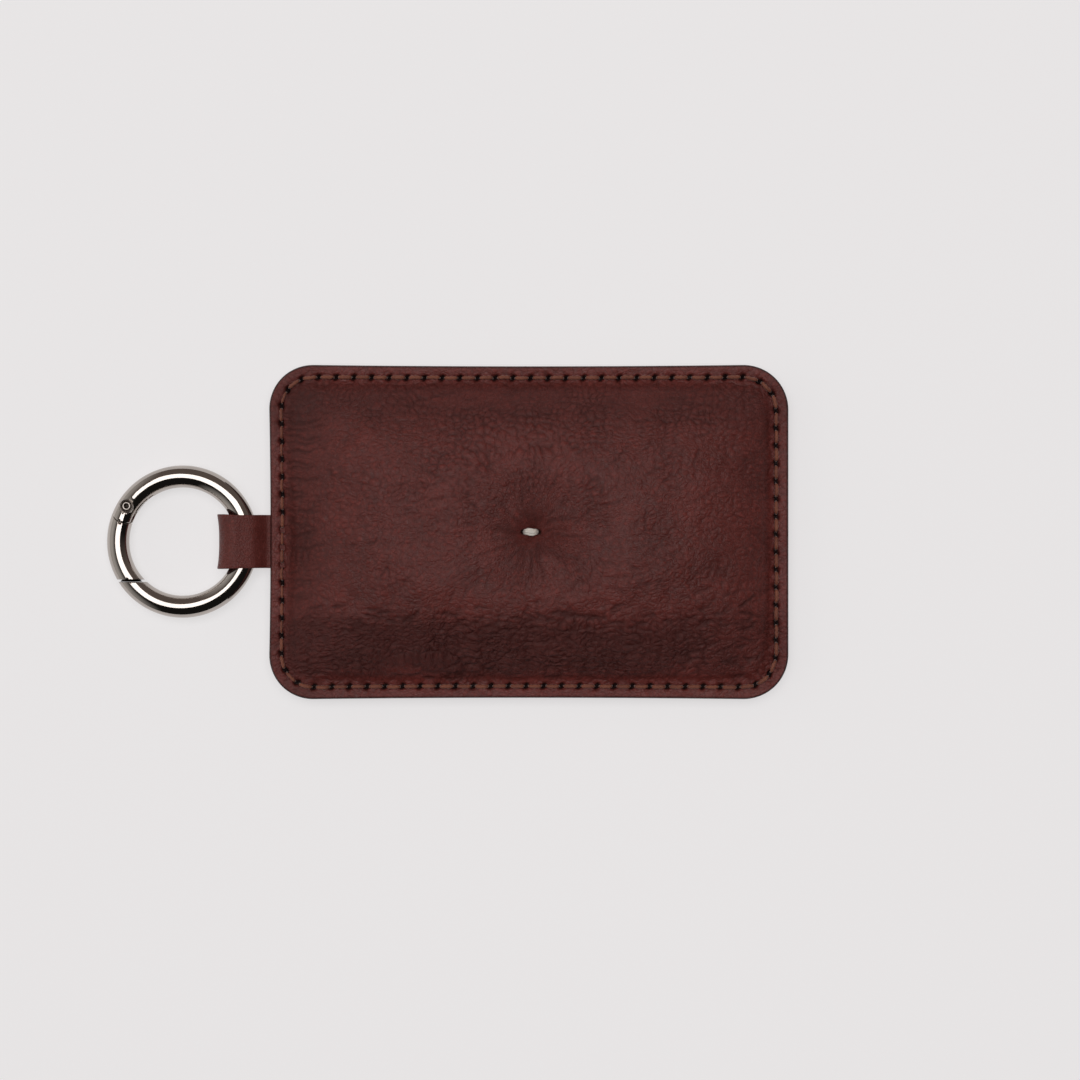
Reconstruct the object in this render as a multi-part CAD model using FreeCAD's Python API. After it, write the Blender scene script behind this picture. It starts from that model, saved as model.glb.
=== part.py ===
import FreeCAD, Part

import math
import os

from FreeCAD import Vector

# A padded leather card holder with a spring-gate key ring on a strap loop.
# Millimetres, +Z up. The holder lies on its rear face with the padded front up. The origin is the middle
# of the rear face, the key ring is towards -X and the card pocket's mouth is the long edge at +Y.

# ---- outline and seam ----
POUCH_LENGTH = 98.0
POUCH_WIDTH = 63.2
CORNER_RADIUS = 8.6
EDGE_BEVEL = 0.4  # rounded-off arris of the painted edges
SEAM_INSET = 2.3  # from the cut edge to the stitch line
STITCH_PITCH = 3.33

# ---- layers, from the rear face up ----
REAR_THICKNESS = 1.2
POCKET_GAP = 1.4  # room for one 0.76 mm card and the thread behind it
LINING_THICKNESS = 0.6
COVER_THICKNESS = 1.2

# ---- formed rear panel ----
REAR_RIM = 4.6  # flat rim that is sewn, before the panel bellies out for the cards
THUMB_NOTCH_RADIUS = 9.0

# ---- padded front ----
PUFF_FOOT_GAP = 0.7  # from the stitch line to the foot of the padding's bulge
PUFF_RISE = 7.6  # height of the bulge over the seam
PUFF_RUN = 15.0  # width of its sloping shoulder
PUFF_CORNER_GROWTH = 0.4  # how much rounder the bulge's corners get, per mm further in
PUFF_LEVELS = 6
DIMPLE_RADIUS = 11.0
DIMPLE_DEPTH = 3.5
TUFT_X = 0.5  # the tuft is a little right of the middle

# ---- tuft: one thick thread through front and wadding, tied over a small disc ----
TUFT_THREAD_RADIUS = 0.6
TUFT_SPAN = 1.8
BACKING_RADIUS = 4.0
BACKING_THICKNESS = 0.6

# ---- sewing thread ----
THREAD_RADIUS = 0.25
LEG_RADIUS = 0.2
LEG_OFFSET = 0.3  # of each thread leg from the middle of its slit
THREAD_LIFT = 0.12  # of the run's axis over the leather: the thread is pressed flat underneath
SLIT_LENGTH = 1.3
SLIT_WIDTH = 0.7
SLIT_SLANT = 35.0
LOCK_GAP = 0.1  # between the front and rear legs where they lock inside the seam

# ---- strap ----
STRAP_WIDTH = 10.0
STRAP_THICKNESS = 1.05
STRAP_SKIVED = 0.5  # each leaf where it is pared down for the seam
STRAP_Y = -1.8  # the strap is sewn a little below the middle of the short side
TAIL_INSET = 4.1  # how far the two leaves reach into the seam
NECK_GAP = 0.3  # free neck between the pouch's edge and the loop's root
LOOP_WEB = 0.35  # leather between the root and the ring's channel
LOOP_SLACK = 2.0  # extra length of the channel beyond the wire
CHANNEL_CLEARANCE = 0.25  # all round the ring's wire
LOOP_SHOULDER = 0.45  # leaf thickness over the wire, on the seam side

# ---- key ring ----
RING_RADIUS = 12.3  # to the middle of the wire
WIRE_RADIUS = 2.1
FLOOR_GAP = 0.02
PIN_ANGLE = 147.0  # all angles are about the ring's axis, from the side nearest the pouch
SLOT_END_ANGLE = 122.0
GATE_TIP_ANGLE = 217.0
TIP_GAP = 0.5
NIB_RADIUS = 1.7  # of the short nib on the gate's tip, which fills the gap from inside
NIB_CLEARANCE = 0.1
TRIM_ANGLE = 15.0  # by which each arc of wire runs on before it is trimmed to its end
SHOULDER_RADIUS = 3.15  # round ends of the fork's cheeks, about the pin
SHOULDER_GAP = 0.18
SLOT_HALF_HEIGHT = 0.95
SLOT_WALL = 0.5  # metal left outside the slot
TONGUE_CLEARANCE = 0.1  # above and below the tongue, and behind it
PIN_RADIUS = 0.6
PIN_CLEARANCE = 0.05
HEAD_RADIUS = 1.35
HEAD_PROUD = 0.05
HEAD_SEAT_DEPTH = 0.5
HEAD_DIMPLE_RADIUS = 0.5
HEAD_DIMPLE_DEPTH = 0.25
HEEL_ANGLE = 129.0
HEEL_WIDTH = 1.15
HEEL_INSET = 0.15  # of the heel from the wire's inner side

# ---- gate spring ----
SPRING_ANGLE = 133.0
SPRING_RADIUS = 0.6
SPRING_WIRE = 0.11
SPRING_TURNS = 3.5

# ---- heights that follow ----
RIM_UNDER = POCKET_GAP
RIM_TOP = RIM_UNDER + REAR_THICKNESS
LINING_TOP = RIM_TOP + LINING_THICKNESS
SEAM_TOP = LINING_TOP + COVER_THICKNESS
PUFF_TOP = SEAM_TOP + PUFF_RISE
PUFF_FOOT = SEAM_INSET + PUFF_FOOT_GAP
TUFT_Z = PUFF_TOP - DIMPLE_DEPTH
DIMPLE_SPHERE = (DIMPLE_RADIUS ** 2 + DIMPLE_DEPTH ** 2) / (2 * DIMPLE_DEPTH)

# ---- strap and ring places that follow ----
TAIL_BOTTOM = RIM_TOP
TAIL_TOP = TAIL_BOTTOM + 2 * STRAP_SKIVED
POUCH_EDGE_X = -POUCH_LENGTH / 2
ROOT_X = POUCH_EDGE_X - NECK_GAP - STRAP_SKIVED
ROOT_Z = TAIL_BOTTOM + STRAP_SKIVED
CHANNEL_RADIUS = WIRE_RADIUS + CHANNEL_CLEARANCE
CHANNEL_X = ROOT_X - STRAP_SKIVED - LOOP_WEB - CHANNEL_RADIUS
CHANNEL_Z = STRAP_THICKNESS + CHANNEL_RADIUS
RING_TILT = math.asin((CHANNEL_Z - WIRE_RADIUS - FLOOR_GAP) / (2 * RING_RADIUS))
RING_X = CHANNEL_X - RING_RADIUS * math.cos(RING_TILT)
RING_Z = CHANNEL_Z - RING_RADIUS * math.sin(RING_TILT)
SLOT_OUTER = RING_RADIUS + WIRE_RADIUS - SLOT_WALL
TONGUE_HALF_HEIGHT = SLOT_HALF_HEIGHT - TONGUE_CLEARANCE
TONGUE_DISC = SLOT_OUTER - RING_RADIUS - TONGUE_CLEARANCE
TIP_Y = RING_RADIUS * math.sin(math.radians(GATE_TIP_ANGLE))
HEEL_INNER = RING_RADIUS - WIRE_RADIUS + HEEL_INSET
HEEL_OUTER = HEEL_INNER + HEEL_WIDTH

UP = Vector(0, 0, 1)
FAR = 200.0  # longer than anything here, for cutting tools
OVERCUT = 1.0  # by which a cutting tool passes the faces it cuts


def polar(radius, degrees, z=0.0):
    angle = math.radians(degrees)
    return Vector(radius * math.cos(angle), radius * math.sin(angle), z)


def block(low, high):
    size = [high[i] - low[i] for i in range(3)]
    return Part.makeBox(size[0], size[1], size[2], Vector(*low))


def rounded_rectangle(x_half, y_low, y_high, radius, z):
    """Closed wire: straight sides and four corner arcs, at height z."""
    centres = [
        (x_half - radius, y_low + radius, -90),
        (x_half - radius, y_high - radius, 0),
        (-x_half + radius, y_high - radius, 90),
        (-x_half + radius, y_low + radius, 180),
    ]
    arcs = []
    for x, y, start in centres:
        centre = Vector(x, y, z)
        points = [centre + polar(radius, start + turn) for turn in (0, 45, 90)]
        arcs.append(Part.Arc(*points))
    edges = []
    for arc, following in zip(arcs, arcs[1:] + arcs[:1]):
        edges.append(arc.toShape())
        edges.append(Part.LineSegment(arc.EndPoint, following.StartPoint).toShape())
    return Part.Wire(edges)


def outline(inset, z, corner=None):
    """The pouch's outline drawn in by inset, at height z."""
    half = POUCH_WIDTH / 2 - inset
    radius = CORNER_RADIUS - inset if corner is None else corner
    return rounded_rectangle(POUCH_LENGTH / 2 - inset, -half, half, radius, z)


def slab(low, high, bevel_low=0.0, bevel_high=0.0):
    """A layer of the pouch's full outline, with its arrises rounded off where a bevel is given."""
    levels = [(0.0, low + bevel_low), (0.0, high - bevel_high)]
    if bevel_low:
        levels.insert(0, (bevel_low, low))
    if bevel_high:
        levels.append((bevel_high, high))
    return Part.makeLoft([outline(inset, z) for inset, z in levels], True, True)


def belt(circles):
    """Closed wire round circles (x, y, radius) in anticlockwise order, like a belt round pulleys."""
    count = len(circles)
    tangents = []
    for index in range(count):
        x0, y0, r0 = circles[index]
        x1, y1, r1 = circles[(index + 1) % count]
        heading = math.atan2(y1 - y0, x1 - x0)
        normal = heading - math.acos((r0 - r1) / math.hypot(x1 - x0, y1 - y0))
        tangents.append(normal)
    edges = []
    for index in range(count):
        x, y, radius = circles[index]
        arrive = tangents[index - 1]
        leave = tangents[index]
        while leave < arrive:
            leave += 2 * math.pi
        centre = Vector(x, y, 0)
        points = [
            centre + polar(radius, math.degrees(angle))
            for angle in (arrive, (arrive + leave) / 2, leave)
        ]
        edges.append(Part.Arc(*points).toShape())
        nx, ny, following = circles[(index + 1) % count]
        landing = Vector(nx, ny, 0) + polar(following, math.degrees(tangents[index]))
        edges.append(Part.LineSegment(points[2], landing).toShape())
    return Part.Wire(edges)


def prism(wire, low, high):
    """The flat wire drawn at z = 0, filled and extruded from low to high."""
    solid = Part.Face(wire).extrude(Vector(0, 0, high - low))
    solid.translate(Vector(0, 0, low))
    return solid


# ---- the seam ----
def seam_path():
    """Stitch line as (start, length, heading, turning radius) pieces, anticlockwise from the bottom left."""
    x = POUCH_LENGTH / 2 - CORNER_RADIUS
    y = POUCH_WIDTH / 2 - CORNER_RADIUS
    bend = CORNER_RADIUS - SEAM_INSET
    corner = bend * math.pi / 2
    starts = [
        (Vector(-x, -y - bend, 0), 2 * x),
        (Vector(x + bend, -y, 0), 2 * y),
        (Vector(x, y + bend, 0), 2 * x),
        (Vector(-x - bend, y, 0), 2 * y),
    ]
    pieces = []
    for side, (start, length) in enumerate(starts):
        heading = 90.0 * side
        pieces.append((start, length, heading, 0.0))
        pieces.append((start + polar(length, heading), corner, heading, bend))
    return pieces


def seam_holes():
    """Middle and heading of every stitch hole, evenly spaced round the stitch line."""
    pieces = seam_path()
    total = sum(piece[1] for piece in pieces)
    count = round(total / STITCH_PITCH)
    holes = []
    for index in range(count):
        along = total * index / count
        for start, length, heading, bend in pieces:
            if along <= length:
                break
            along -= length
        if bend:
            turned = math.degrees(along / bend)
            centre = start + polar(bend, heading + 90)
            holes.append((centre + polar(bend, heading - 90 + turned), heading + turned))
        else:
            holes.append((start + polar(along, heading), heading))
    return holes


def at_mouth(point):
    """True where the stitch line runs along the open mouth, where it holds only front and lining."""
    return point.y > 0 and abs(point.x) < POUCH_LENGTH / 2 - REAR_RIM + SLIT_LENGTH / 2


def slit(hole, low, high):
    """One slanted stitch hole as a cutting tool."""
    point, heading = hole
    half = (SLIT_LENGTH - SLIT_WIDTH) / 2
    end = SLIT_WIDTH / 2
    tool = prism(belt([(-half, 0, end), (half, 0, end)]), low, high)
    tool.rotate(Vector(0, 0, 0), UP, heading + SLIT_SLANT)
    tool.translate(point)
    return tool


def stitch(start_hole, end_hole, surface, side):
    """One visible thread run between two holes, with a leg down into each. side is +1 above, -1 below."""
    lock = (SEAM_TOP + RIM_UNDER) / 2 + side * LOCK_GAP / 2
    ends = []
    for (point, heading), sign in ((start_hole, 1), (end_hole, -1)):
        ends.append(point + polar(sign * LEG_OFFSET, heading + SLIT_SLANT))
    axis_z = surface + side * THREAD_LIFT
    reach = ends[1] - ends[0]
    direction = Vector(reach).normalize()
    start = ends[0] - direction * THREAD_RADIUS + Vector(0, 0, axis_z)
    run = Part.makeCylinder(THREAD_RADIUS, reach.Length + 2 * THREAD_RADIUS, start, direction)
    if side > 0:
        run = run.common(block((-FAR, -FAR, surface), (FAR, FAR, FAR)))
    else:
        run = run.common(block((-FAR, -FAR, -FAR), (FAR, FAR, surface)))
    legs = []
    for point in ends:
        base = point + Vector(0, 0, min(axis_z, lock))
        legs.append(Part.makeCylinder(LEG_RADIUS, abs(axis_z - lock), base, UP))
    return run.fuse(legs).removeSplitter()


def front_stitches(holes):
    pairs = zip(holes, holes[1:] + holes[:1])
    return Part.Compound([stitch(a, b, SEAM_TOP, 1) for a, b in pairs])


def rear_stitches(holes):
    """At both ends of the mouth the thread changes level inside the seam, so no run shows there."""
    runs = []
    for start, end in zip(holes, holes[1:] + holes[:1]):
        mouth = at_mouth(start[0])
        if mouth == at_mouth(end[0]):
            runs.append(stitch(start, end, RIM_TOP if mouth else RIM_UNDER, -1))
    return Part.Compound(runs)


# ---- the pouch's layers ----
def puff(shrink):
    """The bulge of the padded front, or what is inside it once shrink is taken off all over."""
    sections = []
    for level in range(PUFF_LEVELS):
        angle = math.pi / 2 * level / (PUFF_LEVELS - 1)
        run = PUFF_RUN * (1 - math.cos(angle))
        inset = PUFF_FOOT + run + shrink
        corner = CORNER_RADIUS - PUFF_FOOT - shrink + PUFF_CORNER_GROWTH * run
        sections.append(outline(inset, SEAM_TOP - shrink + PUFF_RISE * math.sin(angle), corner))
    bulge = Part.makeLoft(sections, True, False)
    centre = Vector(TUFT_X, 0, PUFF_TOP - DIMPLE_DEPTH + DIMPLE_SPHERE)
    return bulge.cut(Part.makeSphere(DIMPLE_SPHERE + shrink, centre))


def tuft_legs():
    """Where the tuft thread's two legs go down."""
    return [Vector(TUFT_X + side * TUFT_SPAN / 2, 0, 0) for side in (-1, 1)]


def tuft_holes():
    """Holes for the tuft thread, from the dimple down to the wadding's underside."""
    bottom = Vector(0, 0, LINING_TOP)
    return [Part.makeCylinder(TUFT_THREAD_RADIUS, FAR, leg + bottom, UP) for leg in tuft_legs()]


def strap_tail_space():
    """The pared strap leaves inside the seam."""
    return block(
        (POUCH_EDGE_X, STRAP_Y - STRAP_WIDTH / 2, TAIL_BOTTOM),
        (POUCH_EDGE_X + TAIL_INSET, STRAP_Y + STRAP_WIDTH / 2, TAIL_TOP),
    )


def cover_panel(holes):
    """Padded front leather: a flat sewn rim, and the bulge over the wadding."""
    body = slab(LINING_TOP, SEAM_TOP, bevel_high=EDGE_BEVEL).fuse(puff(0.0)).removeSplitter()
    slits = [slit(hole, LINING_TOP - OVERCUT, SEAM_TOP + OVERCUT) for hole in holes]
    return body.cut([puff(COVER_THICKNESS), strap_tail_space()] + tuft_holes()).cut(slits)


def backing_disc():
    return Part.makeCylinder(BACKING_RADIUS, BACKING_THICKNESS, Vector(TUFT_X, 0, LINING_TOP), UP)


def wadding():
    """Soft filling under the bulge, with room for the backing disc and the tuft thread."""
    return puff(COVER_THICKNESS).cut([backing_disc()] + tuft_holes())


def tuft_backing():
    """Disc that the tuft thread pulls against, with a groove below for the thread's hidden run."""
    return backing_disc().cut([tuft_thread()])


def tuft_thread():
    """The tuft thread: a thick run in the dimple, two legs, and a flat run under the backing disc."""
    left, right = tuft_legs()
    low = LINING_TOP
    top = TUFT_Z + TUFT_THREAD_RADIUS
    legs = []
    ends = []
    for leg in (left, right):
        legs.append(Part.makeCylinder(TUFT_THREAD_RADIUS, top - low, leg + Vector(0, 0, low), UP))
        ends.append(Part.makeSphere(TUFT_THREAD_RADIUS, leg + Vector(0, 0, top)))
    over = Part.makeCylinder(TUFT_THREAD_RADIUS, TUFT_SPAN, left + Vector(0, 0, top), Vector(1, 0, 0))
    under = block(
        (left.x, -TUFT_THREAD_RADIUS / 2, low),
        (right.x, TUFT_THREAD_RADIUS / 2, low + BACKING_THICKNESS / 2),
    )
    return over.fuse(legs + ends + [under]).removeSplitter()


def inner_lining(holes):
    """Flat lining between the card pocket and the wadding, cut away where the strap is sewn in."""
    slits = [slit(hole, RIM_TOP - OVERCUT, LINING_TOP + OVERCUT) for hole in holes]
    return slab(RIM_TOP, LINING_TOP).cut([strap_tail_space()]).cut(slits)


def belly(inset, z):
    """Outline of the rear panel's belly: inset on three sides, and running out past the mouth."""
    radius = max(CORNER_RADIUS - inset, EDGE_BEVEL)
    half = POUCH_WIDTH / 2
    return rounded_rectangle(POUCH_LENGTH / 2 - inset, -half + inset, half + CORNER_RADIUS, radius, z)


def rear_panel(holes):
    """Leather formed into a shallow tray: the sewn rim, a belly for the cards, and a thumb notch."""
    foot = REAR_RIM + POCKET_GAP
    inner_foot = foot + (math.sqrt(2) - 1) * REAR_THICKNESS
    rim = slab(RIM_UNDER, RIM_TOP, bevel_low=EDGE_BEVEL)
    tray_levels = [belly(foot, 0), belly(REAR_RIM, POCKET_GAP), belly(REAR_RIM, RIM_TOP)]
    room_levels = [belly(inner_foot, REAR_THICKNESS), belly(inner_foot - POCKET_GAP, RIM_TOP)]
    tray = Part.makeLoft(tray_levels, True, True).common(slab(0, RIM_TOP))
    room = Part.makeLoft(room_levels, True, True)
    mouth = Vector(0, POUCH_WIDTH / 2, -OVERCUT)
    notch = Part.makeCylinder(THUMB_NOTCH_RADIUS, RIM_TOP + 2 * OVERCUT, mouth, UP)
    sewn = [hole for hole in holes if not at_mouth(hole[0])]
    slits = [slit(hole, RIM_UNDER - OVERCUT, RIM_TOP + OVERCUT) for hole in sewn]
    return rim.fuse(tray).removeSplitter().cut([room, notch]).cut(slits)


def strap_tails(holes):
    """The strap's two pared leaves, one solid, sewn in between the front and the rear panel."""
    slits = [slit(hole, TAIL_BOTTOM - OVERCUT, TAIL_TOP + OVERCUT) for hole in holes]
    return strap_tail_space().cut(slits)


# ---- the loop ----
def ring_loop():
    """The folded strap outside the seam: a rounded root at the flex line, and a channel for the ring."""
    fold_x = CHANNEL_X - LOOP_SLACK
    outer = belt([
        (ROOT_X, ROOT_Z, STRAP_SKIVED),
        (CHANNEL_X, CHANNEL_Z, CHANNEL_RADIUS + LOOP_SHOULDER),
        (fold_x, CHANNEL_Z, CHANNEL_RADIUS + STRAP_THICKNESS),
        (CHANNEL_X, CHANNEL_Z, CHANNEL_RADIUS + LOOP_SHOULDER),
    ])
    channel = belt([(CHANNEL_X, CHANNEL_Z, CHANNEL_RADIUS), (fold_x, CHANNEL_Z, CHANNEL_RADIUS)])
    loop = prism(outer, 0, STRAP_WIDTH).cut(prism(channel, -OVERCUT, STRAP_WIDTH + OVERCUT))
    loop.rotate(Vector(0, 0, 0), Vector(1, 0, 0), 90)
    loop.translate(Vector(0, STRAP_Y + STRAP_WIDTH / 2, 0))
    return loop


# ---- the key ring, built flat about its own axis and then laid in the loop ----
def lay_in_loop(shape):
    shape.rotate(Vector(0, 0, 0), Vector(0, 1, 0), -math.degrees(RING_TILT))
    shape.translate(Vector(RING_X, STRAP_Y, RING_Z))
    return shape


def swept(face_points, start, end):
    """A flat face given by (radius, height) corners, swept about the ring's axis between two angles."""
    corners = [Vector(radius, 0, height) for radius, height in face_points]
    face = Part.Face(Part.makePolygon(corners + corners[:1]))
    solid = face.revolve(Vector(0, 0, 0), UP, end - start)
    solid.rotate(Vector(0, 0, 0), UP, start)
    return solid


def wire_arc(start, end):
    """Round wire of the ring between two angles."""
    circle = Part.Circle(Vector(RING_RADIUS, 0, 0), Vector(0, 1, 0), WIRE_RADIUS)
    face = Part.Face(Part.Wire(circle.toShape()))
    solid = face.revolve(Vector(0, 0, 0), UP, end - start)
    solid.rotate(Vector(0, 0, 0), UP, start)
    return solid


def pin_cylinder(radius, low, high):
    return Part.makeCylinder(radius, high - low, polar(RING_RADIUS, PIN_ANGLE, low), UP)


def ring_body():
    """Fixed part of the ring, forked at the hinge so that the gate's tongue turns between two cheeks."""
    past_tip = block((-FAR, TIP_Y - TIP_GAP / 2, -FAR), (0, 0, FAR))
    long_arc = wire_arc(GATE_TIP_ANGLE - TRIM_ANGLE, 360 + PIN_ANGLE).cut(past_tip)
    shoulder = pin_cylinder(SHOULDER_RADIUS, -FAR, FAR)
    cheeks = wire_arc(PIN_ANGLE, PIN_ANGLE + 2 * TRIM_ANGLE).common(shoulder)
    slot = swept(
        [
            (RING_RADIUS - 2 * WIRE_RADIUS, -SLOT_HALF_HEIGHT),
            (SLOT_OUTER, -SLOT_HALF_HEIGHT),
            (SLOT_OUTER, SLOT_HALF_HEIGHT),
            (RING_RADIUS - 2 * WIRE_RADIUS, SLOT_HALF_HEIGHT),
        ],
        SLOT_END_ANGLE,
        PIN_ANGLE + 2 * TRIM_ANGLE,
    )
    seat = WIRE_RADIUS - HEAD_SEAT_DEPTH
    cuts = [slot, pin_cylinder(PIN_RADIUS, -FAR, FAR)]
    cuts.append(pin_cylinder(HEAD_RADIUS, seat, FAR))
    cuts.append(pin_cylinder(HEAD_RADIUS, -FAR, -seat))
    return lay_in_loop(long_arc.fuse(cheeks).removeSplitter().cut(cuts))


def gate_nib():
    """Short round nib on the gate's tip, so that the closed joint shows no daylight."""
    across = TIP_Y / math.tan(math.radians(GATE_TIP_ANGLE))
    root = Vector(across, TIP_Y + TIP_GAP / 2 + NIB_RADIUS / 2, 0)
    reach = TIP_GAP - NIB_CLEARANCE + NIB_RADIUS / 2
    return Part.makeCylinder(NIB_RADIUS, reach, root, Vector(0, -1, 0))


def ring_gate():
    """Spring gate: round wire with a nib, and a flat tongue on the pin with a heel for the spring."""
    below_tip = block((-FAR, -FAR, -FAR), (FAR, TIP_Y + TIP_GAP / 2, FAR))
    shoulder = pin_cylinder(SHOULDER_RADIUS + SHOULDER_GAP, -FAR, FAR)
    arm = wire_arc(PIN_ANGLE, GATE_TIP_ANGLE + TRIM_ANGLE).cut([below_tip, shoulder])
    joined_at = PIN_ANGLE + math.degrees((SHOULDER_RADIUS + TONGUE_DISC) / RING_RADIUS)
    pivot = polar(RING_RADIUS, PIN_ANGLE)
    join = polar(RING_RADIUS, joined_at)
    plan = belt([(pivot.x, pivot.y, TONGUE_DISC), (join.x, join.y, TONGUE_DISC)])
    tongue = prism(plan, -TONGUE_HALF_HEIGHT, TONGUE_HALF_HEIGHT)
    heel = swept(
        [
            (HEEL_INNER, -TONGUE_HALF_HEIGHT),
            (HEEL_OUTER, -TONGUE_HALF_HEIGHT),
            (HEEL_OUTER, TONGUE_HALF_HEIGHT),
            (HEEL_INNER, TONGUE_HALF_HEIGHT),
        ],
        HEEL_ANGLE,
        PIN_ANGLE,
    )
    gate = arm.fuse([tongue, heel, gate_nib()]).removeSplitter()
    return lay_in_loop(gate.cut(pin_cylinder(PIN_RADIUS + PIN_CLEARANCE, -FAR, FAR)))


def gate_pin():
    """Rivet through both cheeks, its two heads let into the wire, each with a small centre dimple."""
    top = WIRE_RADIUS + HEAD_PROUD
    seat = WIRE_RADIUS - HEAD_SEAT_DEPTH
    shank = pin_cylinder(PIN_RADIUS, -top, top)
    heads = [pin_cylinder(HEAD_RADIUS, seat, top), pin_cylinder(HEAD_RADIUS, -top, -seat)]
    dimples = []
    for side in (-1, 1):
        mouth = polar(RING_RADIUS, PIN_ANGLE, side * top)
        bottom = Vector(0, 0, -side)
        dimples.append(Part.makeCone(HEAD_DIMPLE_RADIUS, 0, HEAD_DIMPLE_DEPTH, mouth, bottom))
    return lay_in_loop(shank.fuse(heads).removeSplitter().cut(dimples))


def gate_spring():
    """Small coil spring between the gate's heel and the slot's outer wall."""
    length = SLOT_OUTER - HEEL_OUTER - 2 * SPRING_WIRE
    pitch = length / SPRING_TURNS
    helix = Part.makeHelix(pitch, length, SPRING_RADIUS)
    section = Part.Circle(Vector(SPRING_RADIUS, 0, 0), Vector(0, 1, 0), SPRING_WIRE)
    coil = Part.Wire(helix).makePipeShell([Part.Wire(section.toShape())], True, True)
    coil.translate(Vector(0, 0, HEEL_OUTER + SPRING_WIRE))
    coil.rotate(Vector(0, 0, 0), Vector(0, 1, 0), 90)
    coil.rotate(Vector(0, 0, 0), UP, SPRING_ANGLE)
    return lay_in_loop(coil)


def build():
    holes = seam_holes()
    return {
        "cover_panel": cover_panel(holes),
        "wadding": wadding(),
        "inner_lining": inner_lining(holes),
        "rear_panel": rear_panel(holes),
        "strap_tails": strap_tails(holes),
        "front_stitching": front_stitches(holes),
        "rear_stitching": rear_stitches(holes),
        "tuft_stitch": tuft_thread(),
        "tuft_backing": tuft_backing(),
        "ring_loop": ring_loop(),
        "ring_body": ring_body(),
        "ring_gate": ring_gate(),
        "gate_pin": gate_pin(),
        "gate_spring": gate_spring(),
    }


os.makedirs("parts", exist_ok=True)
for node, shape in build().items():
    shape.exportStep("parts/" + node + ".step")
    print(node, len(shape.Solids), round(shape.Volume, 2), shape.isValid(), shape.BoundBox)
print("ring axis through", RING_X, STRAP_Y, RING_Z, "tilt", math.degrees(RING_TILT))
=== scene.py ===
import math

import bmesh
import bpy
import numpy as np
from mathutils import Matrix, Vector


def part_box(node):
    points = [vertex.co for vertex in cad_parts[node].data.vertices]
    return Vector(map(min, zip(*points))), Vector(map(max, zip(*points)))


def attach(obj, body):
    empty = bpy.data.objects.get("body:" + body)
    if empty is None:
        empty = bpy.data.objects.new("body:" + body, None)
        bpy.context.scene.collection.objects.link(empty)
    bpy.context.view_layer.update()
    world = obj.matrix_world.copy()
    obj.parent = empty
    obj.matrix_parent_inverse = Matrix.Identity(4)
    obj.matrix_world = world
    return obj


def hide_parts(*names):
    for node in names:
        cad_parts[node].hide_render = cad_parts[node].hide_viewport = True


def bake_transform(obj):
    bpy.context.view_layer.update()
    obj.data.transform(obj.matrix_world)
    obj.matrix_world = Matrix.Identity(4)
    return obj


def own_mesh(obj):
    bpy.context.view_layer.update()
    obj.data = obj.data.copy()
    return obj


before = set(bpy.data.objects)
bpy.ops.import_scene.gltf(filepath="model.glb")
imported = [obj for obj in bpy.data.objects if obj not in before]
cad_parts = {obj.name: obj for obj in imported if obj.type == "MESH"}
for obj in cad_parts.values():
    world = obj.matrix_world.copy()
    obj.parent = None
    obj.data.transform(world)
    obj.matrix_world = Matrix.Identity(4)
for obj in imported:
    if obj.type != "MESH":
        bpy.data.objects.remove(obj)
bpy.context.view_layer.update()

# A padded leather card holder, lying on its rear face with the key ring at -X.
# Lengths are worked out in millimetres and turned into metres where a mesh is made.
MM = 0.001


def box_mm(node):
    low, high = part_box(node)
    return np.array(low) / MM, np.array(high) / MM


# ---- sizes read from the frame ----
cover_low, cover_high = box_mm("cover_panel")
loop_low, loop_high = box_mm("ring_loop")
tail_low, tail_high = box_mm("strap_tails")
tuft_low, tuft_high = box_mm("tuft_stitch")
HALF_LENGTH = cover_high[0]
HALF_WIDTH = cover_high[1]
COVER_BOTTOM = cover_low[2]
COVER_TOP = cover_high[2]
TUFT_X = (tuft_low[0] + tuft_high[0]) / 2
STRAP_WIDTH = loop_high[1] - loop_low[1]
STRAP_Y = (loop_high[1] + loop_low[1]) / 2
FOLD_RADIUS = (loop_high[2] - loop_low[2]) / 2
FOLD_X = loop_low[0] + FOLD_RADIUS
LOOP_Z = (loop_high[2] + loop_low[2]) / 2

# ---- sizes the frame doesn't give, as the part has them ----
COVER_THICKNESS = 1.2
CORNER_RADIUS = 8.6
SEAM_INSET = 2.3
STITCH_PITCH = 3.33
PUFF_FOOT = 3.0  # from the cut edge to the foot of the padding's bulge
LOOP_SLACK = 2.0
LOOP_SHOULDER = 0.45
STRAP_THICKNESS = 1.05
WIRE_RADIUS = 2.1
WIRE_CLEARANCE = 0.25
RING_X = -65.3  # the ring's middle, to 0.1 mm
TIP_Y = -9.2  # the joint between the ring and the gate's tip, to 0.1 mm
HINGE_PLACE = np.array((-75.6683, 4.8991, 3.8211))
HINGE_AXIS = (-0.05203, 0.0, 0.99865)
SEAM_TOP = COVER_BOTTOM + COVER_THICKNESS
WIRE_X = FOLD_X + LOOP_SLACK
SHOULDER_RADIUS = WIRE_RADIUS + WIRE_CLEARANCE + LOOP_SHOULDER

# ---- sizes for the look, where the part has others or none ----
SLIT_LENGTH = 1.4
SLIT_WIDTH = 0.95
SLIT_SLANTS = (42.0, 16.0)  # of the stitch slits from the stitch line, on the long and on the short sides
LEG_OFFSET = 0.46  # of each thread leg from the middle of its slit
THREAD_RADIUS = 0.40
DIMPLE_DEPTH = 2.5  # the part's dimple is 3.5 deep
STRAP_SKIVED = 0.48
NIB_SPREAD = 1.19  # of the end of the gate's nib
EDGE_BREAK = 0.14  # broken off the ring's sharp edges

# ---- small mesh tools ----


def placed(name, data):
    """A new object in the scene."""
    made = bpy.data.objects.new(name, data)
    bpy.context.scene.collection.objects.link(made)
    return made


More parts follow.
